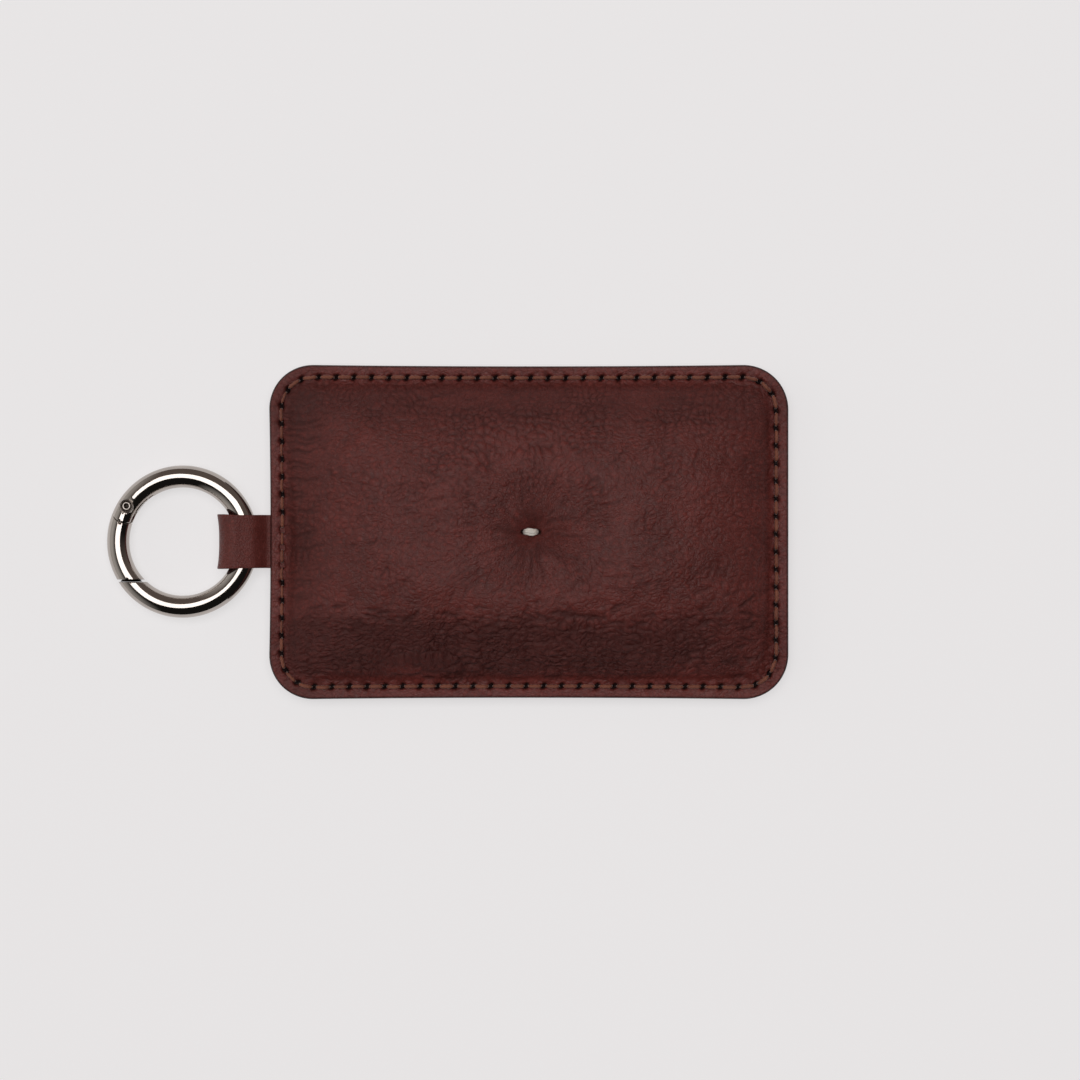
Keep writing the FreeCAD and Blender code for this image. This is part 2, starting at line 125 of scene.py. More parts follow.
def new_piece(name, points_mm, faces):
    """A smooth mesh object from points in millimetres."""
    mesh = bpy.data.meshes.new(name)
    mesh.from_pydata((np.asarray(points_mm, float) * MM).tolist(), [], faces)
    mesh.polygons.foreach_set("use_smooth", [True] * len(mesh.polygons))
    mesh.update()
    return placed(name, mesh)


def give(piece, name, values):
    """Stores one number per vertex for the material to read."""
    attribute = piece.data.attributes.new(name, "FLOAT", "POINT")
    attribute.data.foreach_set("value", np.asarray(values, np.float32).ravel())


def coloured(piece, material):
    piece.data.materials.clear()
    piece.data.materials.append(material)
    return piece


def soft_edges(piece, degrees=35):
    piece.data.polygons.foreach_set("use_smooth", [True] * len(piece.data.polygons))
    piece.data.set_sharp_from_angle(angle=math.radians(degrees))


def ramp(values, start, end):
    """0 before start, 1 after end, smooth between."""
    t = np.clip((np.asarray(values, float) - start) / (end - start), 0, 1)
    return t * t * (3 - 2 * t)


TABLE = 256  # rows and columns of the random tables behind the noise and the cells
TABLE_START = 300.0  # keeps the noise's places positive
NO_NEIGHBOUR = 9.0  # farther than any neighbouring cell


def noise_at(x, y, size, seed):
    """Smooth noise from -1 to 1 whose features are about size across."""
    table = np.random.default_rng(seed).uniform(-1, 1, (TABLE, TABLE))
    u = x / size + TABLE_START
    v = y / size + TABLE_START
    iu = np.floor(u).astype(int)
    iv = np.floor(v).astype(int)
    fu = ramp(u - iu, 0, 1)
    fv = ramp(v - iv, 0, 1)
    left = iu % TABLE
    right = (iu + 1) % TABLE
    low = iv % TABLE
    high = (iv + 1) % TABLE
    a = table[left, low] * (1 - fu) + table[right, low] * fu
    b = table[left, high] * (1 - fu) + table[right, high] * fu
    return a * (1 - fv) + b * fv


def cell_gap(u, v, seed, period=TABLE):
    """How much nearer the nearest scattered point is than the next: 0 on the border between two cells.

    The cells repeat in u after period of them.
    """
    table = np.random.default_rng(seed).uniform(0.08, 0.92, (TABLE, TABLE, 2))
    iu = np.floor(u).astype(int)
    iv = np.floor(v).astype(int)
    nearest = np.full(u.shape, NO_NEIGHBOUR)
    second = np.full(u.shape, NO_NEIGHBOUR)
    for du in (-1, 0, 1):
        for dv in (-1, 0, 1):
            place = table[(iu + du) % period, (iv + dv) % TABLE]
            distance = np.hypot(iu + du + place[..., 0] - u, iv + dv + place[..., 1] - v)
            second = np.minimum(second, np.maximum(nearest, distance))
            nearest = np.minimum(nearest, distance)
    return second - nearest


# ---- the pouch's outline ----
RING_SIDE_PULL = 0.42  # how far the middle of the ring's side is drawn in
LONG_SIDE_PULL = 0.38


def bowed(x, y):
    """The long sides and the ring's side are drawn in a little between their corners, as sewn leather is."""
    left = np.clip(-x / HALF_LENGTH, 0, None) ** 4
    across = np.sign(y) * np.abs(y / HALF_WIDTH) ** 4
    pull_x = RING_SIDE_PULL * left * np.clip(1 - (y / HALF_WIDTH) ** 2, 0, 1)
    pull_y = -LONG_SIDE_PULL * across * np.clip(1 - (x / HALF_LENGTH) ** 2, 0, 1)
    return x + pull_x, y + pull_y


def slit_heading(heading):
    """Direction of a slit, in radians, from the stitch line's heading there in degrees."""
    on_long_side = math.cos(math.radians(heading)) ** 2
    slant = SLIT_SLANTS[0] * on_long_side + SLIT_SLANTS[1] * (1 - on_long_side)
    return math.radians(heading + slant)


def inset_of(x, y):
    """Distance in from the rounded outline, before it is bowed."""
    qx = np.abs(x) - (HALF_LENGTH - CORNER_RADIUS)
    qy = np.abs(y) - (HALF_WIDTH - CORNER_RADIUS)
    outside = np.hypot(np.maximum(qx, 0), np.maximum(qy, 0)) + np.minimum(np.maximum(qx, qy), 0)
    return CORNER_RADIUS - outside


def rounded_grid(columns, rows):
    """A grid of quads over the rounded rectangle: square cells, bent to a quarter disc in each corner."""
    a, b = np.meshgrid(np.linspace(-1, 1, columns + 1), np.linspace(-1, 1, rows + 1), indexing="ij")
    x = a * HALF_LENGTH
    y = b * HALF_WIDTH
    p = np.clip((np.abs(x) - (HALF_LENGTH - CORNER_RADIUS)) / CORNER_RADIUS, 0, 1)
    q = np.clip((np.abs(y) - (HALF_WIDTH - CORNER_RADIUS)) / CORNER_RADIUS, 0, 1)
    corner = (p > 0) & (q > 0)
    bent_x = HALF_LENGTH - CORNER_RADIUS + CORNER_RADIUS * p * np.sqrt(1 - q * q / 2)
    bent_y = HALF_WIDTH - CORNER_RADIUS + CORNER_RADIUS * q * np.sqrt(1 - p * p / 2)
    x = np.where(corner, np.sign(x) * bent_x, x)
    y = np.where(corner, np.sign(y) * bent_y, y)
    return x, y


def grid_faces(columns, rows):
    index = np.arange((columns + 1) * (rows + 1)).reshape(columns + 1, rows + 1)
    quads = np.stack([index[:-1, :-1], index[1:, :-1], index[1:, 1:], index[:-1, 1:]], -1)
    return quads.reshape(-1, 4).tolist()


def border_of(columns, rows):
    """Indices of the grid's border, anticlockwise seen from above."""
    index = np.arange((columns + 1) * (rows + 1)).reshape(columns + 1, rows + 1)
    return np.concatenate([index[:-1, 0], index[-1, :-1], index[:0:-1, -1], index[0, :0:-1]])


def tube_faces(rows, around):
    """Quads between rows of points, where each row is a closed ring."""
    faces = []
    for row in range(rows - 1):
        low, high = row * around, (row + 1) * around
        for k in range(around):
            n = (k + 1) % around
            faces.append([low + k, low + n, high + n, high + k])
    return faces


# ---- the stitch line ----
def seam_holes():
    """Middle (x, y) and heading in degrees of every stitch hole, anticlockwise from the bottom left."""
    x = HALF_LENGTH - CORNER_RADIUS
    y = HALF_WIDTH - CORNER_RADIUS
    bend = CORNER_RADIUS - SEAM_INSET
    quarter = bend * math.pi / 2
    starts = [(-x, -y - bend, 2 * x), (x + bend, -y, 2 * y), (x, y + bend, 2 * x), (-x - bend, y, 2 * y)]
    pieces = []
    for side, (sx, sy, length) in enumerate(starts):
        heading = math.radians(90 * side)
        along = np.array([math.cos(heading), math.sin(heading)])
        corner_start = np.array([sx, sy]) + along * length
        pieces.append((np.array([sx, sy]), length, heading, 0.0))
        pieces.append((corner_start, quarter, heading, bend))
    total = sum(piece[1] for piece in pieces)
    count = round(total / STITCH_PITCH)
    holes = []
    for number in range(count):
        left = total * number / count
        for start, length, heading, turn in pieces:
            if left <= length:
                break
            left -= length
        if turn:
            angle = left / turn
            centre = start + turn * np.array([-math.sin(heading), math.cos(heading)])
            heading += angle
            place = centre + turn * np.array([math.sin(heading), -math.cos(heading)])
        else:
            place = start + left * np.array([math.cos(heading), math.sin(heading)])
        holes.append((place, math.degrees(heading)))
    return holes


HOLES = seam_holes()


# ---- padded front: inflated by cloth simulation on a coarse grid ----
SIM_COLUMNS = 76
SIM_ROWS = 49
FINER = 5
SIM_SCALE = 20.0  # the cloth is simulated this many times larger, where the solver behaves well
SIM_FRAMES = 26
SIM_SMOOTHING = 10
SIM_STRETCH = 0.002
SIM_PRESSURE = 1.6
MOST_SIM_MOVE = 3.0
SLACK_RISE = 0.85  # the slack front's height over the seam, as a share of the blown up front's


def pillow_height(x, y):
    """Height of the slack padded front before it is inflated: a smooth pillow, held down at the tuft."""
    u = np.clip(np.abs(x) / (HALF_LENGTH - PUFF_FOOT), 0, 1)
    upper = np.clip(y / (HALF_WIDTH - PUFF_FOOT), 0, 1)
    lower = np.clip(-y / (HALF_WIDTH - PUFF_FOOT), 0, 1)
    crown = (1 - u ** 4.5) ** 0.8 * (1 - upper ** 3.2) ** 0.8 * (1 - lower ** 4.2) ** 1.25
    height = SEAM_TOP + SLACK_RISE * (COVER_TOP - SEAM_TOP) * crown
    distance = np.hypot(x - TUFT_X, y)
    dip = 0.62 * np.exp(-((distance / 2.2) ** 2)) + 0.38 * np.exp(-((distance / 9.0) ** 1.8))
    return height * (1 - dip) + (COVER_TOP - DIMPLE_DEPTH) * dip


def inflate(x, y, z):
    """Pins the front along its seam and at the tuft, blows it up, and returns where every point went."""
    points = np.stack([x, y, z], -1).reshape(-1, 3)
    cloth = new_piece("cloth_front", points * SIM_SCALE, grid_faces(SIM_COLUMNS, SIM_ROWS))
    inset = inset_of(x, y).ravel()
    at_tuft = np.hypot(points[:, 0] - TUFT_X, points[:, 1]) < 1.7
    pins = cloth.vertex_groups.new(name="pins")
    pins.add(np.flatnonzero((inset < PUFF_FOOT + 0.3) | at_tuft).tolist(), 1.0, "REPLACE")
    cloth_modifier = cloth.modifiers.new("cloth", "CLOTH")
    settings = cloth_modifier.settings
    settings.quality = 8
    settings.mass = 0.25
    settings.tension_stiffness = 25
    settings.compression_stiffness = 25
    settings.shear_stiffness = 12
    settings.bending_stiffness = 4.0
    settings.air_damping = 2
    settings.use_pressure = True
    settings.uniform_pressure_force = SIM_PRESSURE
    settings.vertex_group_mass = "pins"
    settings.shrink_min = -SIM_STRETCH
    settings.effector_weights.gravity = 0
    cloth_modifier.collision_settings.use_collision = False
    cloth_modifier.point_cache.frame_start = 1
    cloth_modifier.point_cache.frame_end = SIM_FRAMES
    scene = bpy.context.scene
    for number in range(1, SIM_FRAMES + 1):
        scene.frame_set(number)
    depsgraph = bpy.context.evaluated_depsgraph_get()
    blown = cloth.evaluated_get(depsgraph).to_mesh()
    moved = np.zeros(len(blown.vertices) * 3)
    blown.vertices.foreach_get("co", moved)
    cloth.evaluated_get(depsgraph).to_mesh_clear()
    bpy.data.objects.remove(cloth)
    scene.frame_set(1)
    change = moved.reshape(-1, 3) / MM / SIM_SCALE - points
    change = np.clip(change, -MOST_SIM_MOVE, MOST_SIM_MOVE).reshape(x.shape + (3,))
    for _ in range(SIM_SMOOTHING):
        for axis in (0, 1):
            middle = np.moveaxis(change, axis, 0)
            middle[1:-1] = (middle[:-2] + 2 * middle[1:-1] + middle[2:]) / 4
    return change


def finer(values):
    """Smooth values on a grid FINER times denser, along both of its first two directions."""
    for axis in (0, 1):
        values = np.moveaxis(values, axis, 0)
        count = values.shape[0]
        place = np.arange((count - 1) * FINER + 1) / FINER
        base = np.clip(np.floor(place).astype(int), 0, count - 2)
        t = (place - base).reshape((-1,) + (1,) * (values.ndim - 1))
        p0 = values[np.clip(base - 1, 0, count - 1)]
        p1 = values[base]
        p2 = values[base + 1]
        p3 = values[np.clip(base + 2, 0, count - 1)]
        bend = 2 * p0 - 5 * p1 + 4 * p2 - p3
        values = p1 + 0.5 * t * (p2 - p0 + t * (bend + t * (3 * (p1 - p2) + p3 - p0)))
        values = np.moveaxis(values, 0, axis)
    return values


# ---- leather relief ----
FINE_FOLDS = 15.0  # fine cells to each radian round the tuft
FANNED_CELLS = 60
CREASE_WIDTH = 0.27
TUFT_FOLDS = 38
ARCHES = 26
WRINKLES = 110
BAND_FOLDS = 130
SEAM_PULL = 0.22  # depth of the channel that the thread pulls along the rim
PUCKER_DEPTH = 0.24
SLIT_DEPTH = 0.9
PIT_DEPTH = 0.8
CROWN_ALLOWANCE = 0.1  # of the padded front's height, left for its relief
TUFT_HOLD = 11.0  # how far from the tuft it holds the front back against the pressure


def crease_strokes():
    """Every single crease: start x and y, heading in degrees, length, bend and depth."""
    chance = np.random.default_rng(21)
    normal, uniform = chance.normal, chance.uniform
    made = []
    # level creases that run in from the ring's side
    for y in np.arange(-21, 25, 1.7):
        strength = 0.2 if -4 < y < 22 else 0.1
        start = (-45.9, y + normal(0, 0.5))
        made.append((*start, normal(1, 6), uniform(3.5, 10), normal(0, 0.01), strength))
    # folds gathered by the tuft
    for number in range(TUFT_FOLDS):
        turn = 360 * number / TUFT_FOLDS + normal(0, 4)
        reach = uniform(1.7, 3.4)
        start = (TUFT_X + reach * math.cos(math.radians(turn)), reach * math.sin(math.radians(turn)))
        turn += normal(0, 7)
        made.append((*start, turn, uniform(3, 11), normal(0, 0.015), 0.13))
    # arches along the upper side
    for number in range(ARCHES):
        start = (uniform(-43, 36), uniform(19.5, 27.5))
        made.append((*start, normal(4, 9), uniform(4, 11), normal(-0.008, 0.006), 0.11))
    # wrinkles over the middle, mostly in line with the tuft
    for number in range(WRINKLES):
        x, y = uniform(-38, 45), uniform(-15, 20)
        turn = math.degrees(math.atan2(y, x - TUFT_X)) + normal(0, 30)
        made.append((x, y, turn, uniform(2.5, 7), normal(0, 0.025), 0.1))
    # short folds in the pressed band along the lower side
    for number in range(BAND_FOLDS):
        start = (uniform(-43, 41), uniform(-27.5, -14))
        made.append((*start, normal(0, 16), uniform(2, 5.5), normal(0.02, 0.03), 0.26))
    # upright folds beside the strap's sewn ends
    for x in (-45.2, -44.2, -43.0, -41.6):
        made.append((x, STRAP_Y - 5 + normal(0, 1), 88, uniform(5, 9), 0.012, 0.13))
    weights = uniform(0.45, 1.1, len(made))
    return [stroke[:5] + (stroke[5] * weight,) for stroke, weight in zip(made, weights)]


def creases(x, y):
    """Depth of the creases, each a thin groove that fades in and out."""
    wx = x + 0.45 * noise_at(x, y, 2.6, 33) + 0.16 * noise_at(x, y, 0.9, 34)
    wy = y + 0.45 * noise_at(x, y, 2.6, 35) + 0.16 * noise_at(x, y, 0.9, 36)
    depth = np.zeros(x.shape)
    for start_x, start_y, heading, length, bend, amount in crease_strokes():
        near = (np.abs(x - start_x) < length + 1) & (np.abs(y - start_y) < length + 1)
        angle = math.radians(heading)
        dx, dy = wx[near] - start_x, wy[near] - start_y
        along = dx * math.cos(angle) + dy * math.sin(angle)
        across = -dx * math.sin(angle) + dy * math.cos(angle) - bend * along ** 2
        fade = ramp(along, -0.4, 0.2 * length) * (1 - ramp(along, 0.45 * length, length))
        depth[near] = np.maximum(depth[near], amount * fade * np.exp(-((across / CREASE_WIDTH) ** 2)))
    return depth


def domed(gap):
    """Height of a pebble, 0 on its border and 1 over most of its middle, from its cell_gap."""
    return 1 - (1 - np.clip(gap / 0.62, 0, 1)) ** 2.2


def grain_places(x, y):
    """Where the grain's cells are looked up: drawn out along X, or fanned out round the tuft."""
    wx = x + 1.1 * noise_at(x, y, 7, 41) + 0.4 * noise_at(x, y, 2.3, 42)
    wy = y + 1.1 * noise_at(x, y, 7, 43) + 0.4 * noise_at(x, y, 2.3, 44)
    distance = np.hypot(wx - TUFT_X, wy) + 0.5
    turn = np.arctan2(wy, wx - TUFT_X)
    return wx, wy, turn * FANNED_CELLS / (2 * math.pi), np.log(distance) * 6.5 + 60


def near_the_tuft(x, y):
    distance = np.hypot(x - TUFT_X, y)
    return (1 - ramp(distance, 13, 22)) * (1 - ramp(-y, 9, 15))


def low_band(x, y):
    """1 in the band along the lower side where the leather is pressed together, 0 away from it."""
    edge = 1.3 * noise_at(x, y, 6, 57)
    ends = 1 - 0.6 * ramp(np.abs(x + 4), 26, 43)
    return ramp(-y + edge, 13.5, 19) * (1 - ramp(-y + edge, 24.5, 28.5)) * ends


def pebble_grain(x, y):
    """Pebbled grain, 0 between the pebbles and 1 on them, drawn out where the leather is pulled."""
    wx, wy, spoke_u, spoke_v = grain_places(x, y)
    large = domed(cell_gap(wx / 2.9, wy / 1.25, 51))
    small = domed(cell_gap(wx / 1.6, wy / 0.85, 54))
    patchy = ramp(noise_at(x, y, 5, 56), -0.35, 0.35)
    long_grain = large * (0.45 + 0.55 * patchy) + small * (0.55 - 0.55 * patchy)
    round_grain = domed(cell_gap(wx / 1.5, wy / 1.15, 52))
    spokes = domed(cell_gap(spoke_u, spoke_v, 53, FANNED_CELLS))
    low = ramp(-y, 9, 15)
    fanned = near_the_tuft(x, y)
    return low * long_grain + fanned * spokes + np.clip(1 - low - fanned, 0, 1) * round_grain


def grain_depth(x, y):
    """How deep the pebbled grain is: strongest in a band along the lower side and above the tuft."""
    uneven = np.clip(0.6 + 0.75 * noise_at(x, y, 4.2, 62), 0.12, 1)
    upper = np.exp(-(((y - 13) / 6) ** 2)) * np.exp(-(((x - 2) / 22) ** 2))
    top = np.exp(-(((y - 24.0) / 4) ** 2)) * (1 - ramp(np.abs(x), 34, 46))
    pressed = 0.5 * low_band(x, y) * (0.35 + 0.65 * uneven)
    return 0.04 + (0.11 + 0.2 * upper + 0.12 * top) * uneven + pressed


def puckers(x, y):
    """The leather drawn down round each stitch hole."""
    depth = np.zeros(x.shape)
    for place, heading in HOLES:
        near = (np.abs(x - place[0]) < 3) & (np.abs(y - place[1]) < 3)
        distance = np.hypot(x[near] - place[0], y[near] - place[1])
        depth[near] = np.maximum(depth[near], np.exp(-((distance / 0.95) ** 2)))
    return depth * (0.75 + 0.5 * noise_at(x, y, 2.5, 74))


def slit_depth(x, y):
    """1 inside a stitch slit, 0 outside, with soft lips."""
    depth = np.zeros(x.shape)
    half = (SLIT_LENGTH - SLIT_WIDTH) / 2
    for place, heading in HOLES:
        near = (np.abs(x - place[0]) < 1.6) & (np.abs(y - place[1]) < 1.6)
        slant = slit_heading(heading)
        dx, dy = x[near] - place[0], y[near] - place[1]
        along = dx * math.cos(slant) + dy * math.sin(slant)
        across = -dx * math.sin(slant) + dy * math.cos(slant)
        distance = np.hypot(np.maximum(np.abs(along) - half, 0), across) - SLIT_WIDTH / 2
        depth[near] = np.maximum(depth[near], 1 - ramp(distance, -0.16, 0.12))
    return depth


def tuft_pits(x, y):
    """Two small pits where the tuft thread goes in, which the cover also paints with shadow."""
    pits = np.zeros(x.shape)
    for side in (-1, 1):
        distance = np.hypot((x - TUFT_X - side * 1.25) / 1.1, y / 0.9)
        pits = np.maximum(pits, 1 - ramp(distance, 0.15, 0.75))
    return pits


def seam_relief(inset, x, y):
    """The sewn rim: a rounded cut edge, a channel pulled down along the thread, and a little unevenness."""
    rounding = 0.45
    lip = np.clip(1 - inset / rounding, 0, 1)
    edge = -rounding * (1 - np.sqrt(np.clip(1 - lip ** 2, 0, 1)))
    channel = -SEAM_PULL * np.exp(-(((inset - SEAM_INSET) / 0.55) ** 2))
    swell = 0.10 * noise_at(x, y, 3.3, 71) + 0.08 * noise_at(x, y, 1.2, 72)
    return edge + channel + swell * ramp(inset, 0.4, 1.0) - PUCKER_DEPTH * puckers(x, y)


def surface_normals(points):
    along = np.gradient(points, axis=0)
    across = np.gradient(points, axis=1)
    normals = np.cross(along, across)
    return normals / np.linalg.norm(normals, axis=-1, keepdims=True)


def padded_surface(x, y, inset):
    """The padded front before its relief: blown up, held back by the tuft, and level along the rim."""
    sim_x, sim_y = rounded_grid(SIM_COLUMNS, SIM_ROWS)
    change = finer(inflate(sim_x, sim_y, pillow_height(sim_x, sim_y)))
    off_tuft = 1 - np.exp(-((np.hypot(x - TUFT_X, y) / TUFT_HOLD) ** 2))
    free = ramp(inset, PUFF_FOOT - 0.2, PUFF_FOOT + 1.6) * off_tuft
    points = np.stack([x, y, pillow_height(x, y)], -1) + change * free[..., None]
    rise = points[..., 2] - SEAM_TOP
    points[..., 2] = SEAM_TOP + rise * (COVER_TOP - CROWN_ALLOWANCE - SEAM_TOP) / rise.max()
    # the padding meets the rim in a soft valley, not a corner
    foot = ramp(inset, PUFF_FOOT - 0.6, PUFF_FOOT + 2.2)
    points[..., 2] = SEAM_TOP + (points[..., 2] - SEAM_TOP) * foot
    return points


def closed_below(points, columns, rows):
    """Points and faces of the front with its cut edge and underside. The upper face's points come first."""
    border = border_of(columns, rows)
    flat = points.reshape(-1, 3)
    rim = flat[border].copy()
    beside_strap = np.abs(rim[:, 1] - STRAP_Y) < STRAP_WIDTH / 2 + 0.25
    over_strap = (rim[:, 0] < -HALF_LENGTH + 1) & beside_strap
    rim[:, 2] = np.where(over_strap, tail_high[2], COVER_BOTTOM)
    middle = [[0.0, 0.0, COVER_BOTTOM]]
    first = len(flat)
    count = len(border)
    faces = grid_faces(columns, rows)
    for number in range(count):
        following = (number + 1) % count
        faces.append([border[number], first + number, first + following, border[following]])
        faces.append([first + number, first + count, first + following])
    return np.vstack([flat, rim, middle]), faces


def whole(values, size, below=0.0):
    """Values of the upper face's points, followed by one value for all the points below it."""
    values = np.asarray(values).ravel()
    return np.concatenate([values, np.full(size - len(values), below)])


def make_cover():
    """The padded front, and the points of its upper face."""
    columns = SIM_COLUMNS * FINER
    rows = SIM_ROWS * FINER
    x, y = rounded_grid(columns, rows)
    inset = inset_of(x, y)
    pebbles = pebble_grain(x, y)
    depth = grain_depth(x, y) * ramp(inset, 0.3, 1.5)
    folds = creases(x, y) * ramp(inset, PUFF_FOOT - 0.4, PUFF_FOOT + 0.4)
    slits = slit_depth(x, y)
    pits = tuft_pits(x, y)
    swell = 0.22 * noise_at(x, y, 11, 81) + 0.12 * noise_at(x, y, 4.5, 82)
    relief = depth * (pebbles - 1) - folds + swell * ramp(inset, 4, 9) + seam_relief(inset, x, y)
    relief -= SLIT_DEPTH * slits + PIT_DEPTH * pits
    points = padded_surface(x, y, inset)
    points += surface_normals(points) * relief[..., None]
    points[..., 0], points[..., 1] = bowed(points[..., 0], points[..., 1])
    all_points, faces = closed_below(points, columns, rows)
    cover = new_piece("cover", all_points, faces)
    size = len(all_points)

    band = low_band(x, y)
    # painted shade: darker in the creases between the pebbles, in the folds, over the pressed band along the
    # lower side and towards the upper and ring-side edges; the same mask makes the leather duller
    grain_line_shade = (1 - pebbles) ** 2 * depth / 0.22 * (1 - 0.65 * band)
    top_painted_shade = 0.4 * ramp(y, 17, 23) * (1 - ramp(y, 27.5, 29))
    side_painted_shade = 0.35 * ramp(-x, 35, 43) * (1 - ramp(-x, 45.5, 46.5))
    painted_shade = np.clip(grain_line_shade + folds / 0.17 + 0.8 * band + (top_painted_shade + side_painted_shade), 0, 1)
    # painted light: the flat margin along the rim is made paler
    margin_light = (1 - ramp(inset, 2.2, 5.0)) * (0.75 + 0.25 * noise_at(x, y, 5, 91))
    give(cover, "paint", whole(1 - ramp(inset, 0.12, 0.42), size, 1.0))
    # painted shadow in the stitch slits and in the tuft's pits
    give(cover, "slit", whole(np.maximum(slits, pits), size))
    give(cover, "band", whole(band, size))
    give(cover, "painted_shade", whole(painted_shade, size))
    give(cover, "painted_margin_light", whole(margin_light, size))
    wx, wy, spoke_u, spoke_v = grain_places(x, y)
    turn = spoke_u * 2 * math.pi / FANNED_CELLS
    round_place = (FINE_FOLDS * np.cos(turn), FINE_FOLDS * np.sin(turn), spoke_v * 1.6)
    straight_place = (wx / 1.25, wy / 0.9, 0 * wx)
    for name, fields in (("grain_place", straight_place), ("spoke_place", round_place)):
        place = np.stack([whole(field, size) for field in fields], -1).astype(np.float32)
        stored = cover.data.attributes.new(name, "FLOAT_VECTOR", "POINT")
        stored.data.foreach_set("vector", place.ravel())
    give(cover, "fanned", whole(near_the_tuft(x, y), size))
    return cover, points


# ---- sewing thread ----
STRAND_SIDES = 12


def strand(path, radius, twist, phase):
    """A twisted thread along a path of points: vertices and quads, closed at both ends."""
    around = STRAND_SIDES
    path = np.asarray(path, float)
    count = len(path)
    forward = np.gradient(path, axis=0)
    forward /= np.linalg.norm(forward, axis=1, keepdims=True)
    side = np.cross(forward, (0, 0, 1.0))
    side /= np.linalg.norm(side, axis=1, keepdims=True) + 1e-9
    up = np.cross(side, forward)
    travelled = np.concatenate([[0], np.cumsum(np.linalg.norm(np.diff(path, axis=0), axis=1))])
    angles = 2 * math.pi * np.arange(around) / around
    radius = np.broadcast_to(radius, (count,))
    rings = []
    for number in range(count):
        lobe = 0.76 + 0.24 * np.abs(np.cos(angles + phase + twist * travelled[number]))
        ring = np.outer(np.cos(angles) * lobe, side[number]) + np.outer(np.sin(angles) * lobe, up[number])
        rings.append(path[number] + radius[number] * ring)
    points = np.vstack(rings + [path[:1], path[-1:]])
    faces = tube_faces(count, around)
    for k in range(around):
        n = (k + 1) % around
        faces.append([n, k, count * around])
        last = (count - 1) * around
        faces.append([last + k, last + n, count * around + 1])
    return points, faces


def joined(name, parts):
    """One piece from several (points, faces) lists."""
    points, faces, start = [], [], 0
    for part_points, part_faces in parts:
        points.append(part_points)
        faces += [[start + corner for corner in face] for face in part_faces]
        start += len(part_points)
    return new_piece(name, np.vstack(points), faces)


RUN_POINTS = 25  # along each thread run
THREAD_TWIST = 3.4  # radians to the millimetre
TUFT_RADIUS = 0.34
TUFT_LENGTH = 2.45


def make_thread():
    """Thread runs along the front's seam, each dipping into its two slits."""
    chance = np.random.default_rng(5)
    parts = []
    for (start, start_heading), (end, end_heading) in zip(HOLES, HOLES[1:] + HOLES[:1]):
        ends = []
        for place, heading, sign in ((start, start_heading, 1), (end, end_heading, -1)):
            angle = math.radians(heading)
            ends.append(place + sign * LEG_OFFSET * np.array([math.cos(angle), math.sin(angle)]))
        left_side = start[0] < -HALF_LENGTH + 4
        radius = THREAD_RADIUS * (chance.uniform(0.6, 0.9) if left_side else chance.uniform(0.9, 1.08))
        t = (1 - np.cos(math.pi * np.linspace(0, 1, RUN_POINTS))) / 2
        sway = chance.normal(0, 0.05) * np.sin(math.pi * t)
        step = ends[1] - ends[0]
        across = np.array([-step[1], step[0]]) / np.hypot(*step)
        flat = ends[0] + t[:, None] * step + sway[:, None] * across
        from_end = np.minimum(t, 1 - t)
        plunge = 1.3 * (1 - ramp(from_end, 0.0, 0.1))
        lift = 0.04 + chance.uniform(-0.03, 0.05)
        height = SEAM_TOP - 0.1 + lift + 0.12 * np.sin(math.pi * t) - plunge
        px, py = bowed(flat[:, 0], flat[:, 1])
        thick = radius * (1 - 0.35 * (1 - ramp(from_end, 0.0, 0.25)))
        path = np.stack([px, py, height], -1)
        parts.append(strand(path, thick, THREAD_TWIST, phase=chance.uniform(0, 6)))
    return joined("front_thread", parts)


def make_tuft(cover_points):
    """Three cream strands side by side in the dimple."""
    chance = np.random.default_rng(8)
    x, y = cover_points[..., 0], cover_points[..., 1]
    near = (np.abs(x - TUFT_X) < 1.0) & (np.abs(y) < 1.2)
    floor = cover_points[..., 2][near].mean()
    parts = []
    for across, lift in ((-0.42, 0.0), (0.4, 0.02), (0.0, 0.22)):
        t = np.linspace(0, 1, 21)
        px = TUFT_X + (t - 0.5) * TUFT_LENGTH
        py = across * (1 - 0.75 * np.abs(2 * t - 1) ** 2.2) + 0.04 * np.sin(7 * t + across)
        dive = 0.95 * (1 - ramp(np.minimum(t, 1 - t), 0.0, 0.2))
        pz = floor + 0.3 + lift + 0.16 * np.sin(math.pi * t) - dive
        path = np.stack([px, py, pz], -1)
        parts.append(strand(path, TUFT_RADIUS, 2.1, phase=chance.uniform(0, 6)))
    return joined("tuft_thread", parts)


# ---- strap ----
STRAP_ROWS = 150
EDGE_SOFTNESS = 0.16  # radius of the strap's worn arris
SIDE_PAINT = 0.7  # how much of its cut sides' paint is left
FOLD_SPREAD = 0.03  # how much wider the strap is at its fold, as a share


def arc(x, z, radius, start, end, count):
    """Points on an arc in the XZ plane, between two angles in degrees."""
    turns = [math.radians(degrees) for degrees in np.linspace(start, end, count)]
    return [(x + radius * math.cos(turn), z + radius * math.sin(turn)) for turn in turns]


